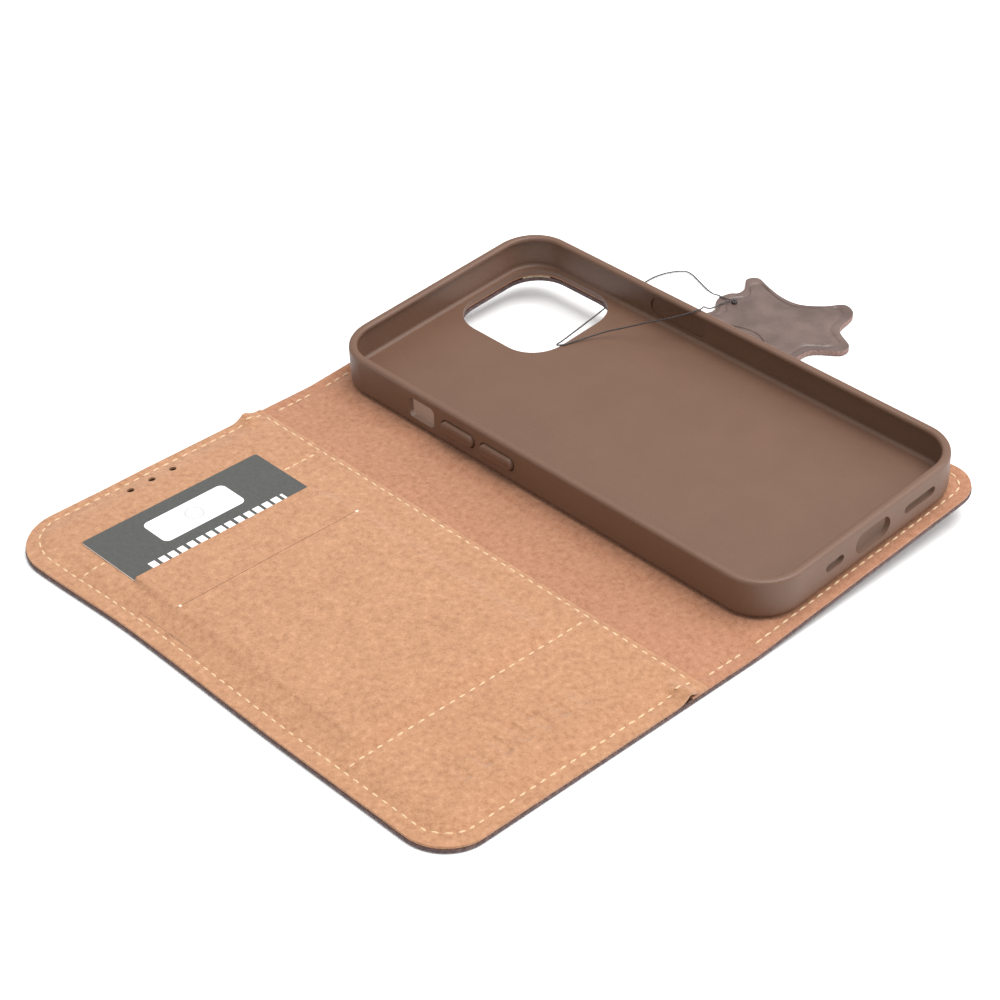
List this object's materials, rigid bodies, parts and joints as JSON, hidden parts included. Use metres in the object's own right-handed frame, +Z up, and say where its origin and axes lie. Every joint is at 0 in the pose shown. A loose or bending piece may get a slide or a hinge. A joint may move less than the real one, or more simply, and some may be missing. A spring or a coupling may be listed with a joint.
{
  "type": "phone wallet case",
  "caption": "Book-type phone wallet case lying open: leather cover, suede lining with a card pocket, moulded phone tray, and a corded leather hang tag.",
  "frame": {"origin": "middle of the open case's footprint, at table level", "axes": "+X from the front cover across the spine to the tray, +Y towards the camera end of the tray, +Z up"},
  "size_m": [0.2319, 0.156, 0.0211],
  "materials": {
    "outer_leather": "dark brown grained leather",
    "board": "plain stiffening board",
    "foil": "thin shielding foil",
    "backing": "plain split",
    "front_lining": "peach suede",
    "back_lining": "tan suede",
    "tape": "adhesive tape",
    "tray": "satin brown moulding",
    "key": "satin brown moulding",
    "card": "matt dark grey card",
    "thread": "cream waxed thread",
    "tag_leather": "smooth taupe leather",
    "cord": "black waxed cord"
  },
  "bodies": {
    "phone_holder": {"back_cover_leather": "outer_leather", "back_board": "board", "back_lining": "back_lining", "tray_tape": "tape", "phone_tray": "tray", "back_edge_thread": "thread", "leather_tag": "tag_leather", "tag_cord": "cord", "tag_knot": "cord"},
    "spine": {"spine_leather": "outer_leather", "spine_lining": "back_lining", "spine_edge_thread": "thread"},
    "front_cover": {"front_cover_leather": "outer_leather", "front_board": "board", "shield_foil": "foil", "pocket_backing": "backing", "pocket_sheet": "front_lining", "lining_tuck": "back_lining", "front_edge_thread": "thread", "upper_seam_thread": "thread", "lower_seam_thread": "thread", "lip_thread": "thread"},
    "card": {"shield_card": "card"},
    "volume_up": {"volume_up_key": "key"},
    "volume_down": {"volume_down_key": "key"},
    "power": {"power_key": "key"}
  },
  "joints": [
    {"name": "back_fold", "type": "hinge", "parent": "phone_holder", "child": "spine", "pos_m": [0.00713, 0, 0.0009], "axis": [0, 1, 0], "range_deg": [-95, 85]},
    {"name": "front_fold", "type": "hinge", "parent": "spine", "child": "front_cover", "pos_m": [-0.00847, 0, 0.0009], "axis": [0, 1, 0], "range_deg": [-90, 90]},
    {"name": "card_slide", "type": "slide", "parent": "front_cover", "child": "card", "axis": [0, 1, 0], "range_m": [-0.0165, 0.068]},
    {"name": "volume_up_press", "type": "slide", "parent": "phone_holder", "child": "volume_up", "axis": [0.9962, 0, 0.0872], "range_m": [0, 0.00035], "stiffness_N_per_m": 3000},
    {"name": "volume_down_press", "type": "slide", "parent": "phone_holder", "child": "volume_down", "axis": [0.9962, 0, 0.0872], "range_m": [0, 0.00035], "stiffness_N_per_m": 3000},
    {"name": "power_press", "type": "slide", "parent": "phone_holder", "child": "power", "axis": [-0.9962, 0, -0.0872], "range_m": [0, 0.00035], "stiffness_N_per_m": 3000}
  ]
}
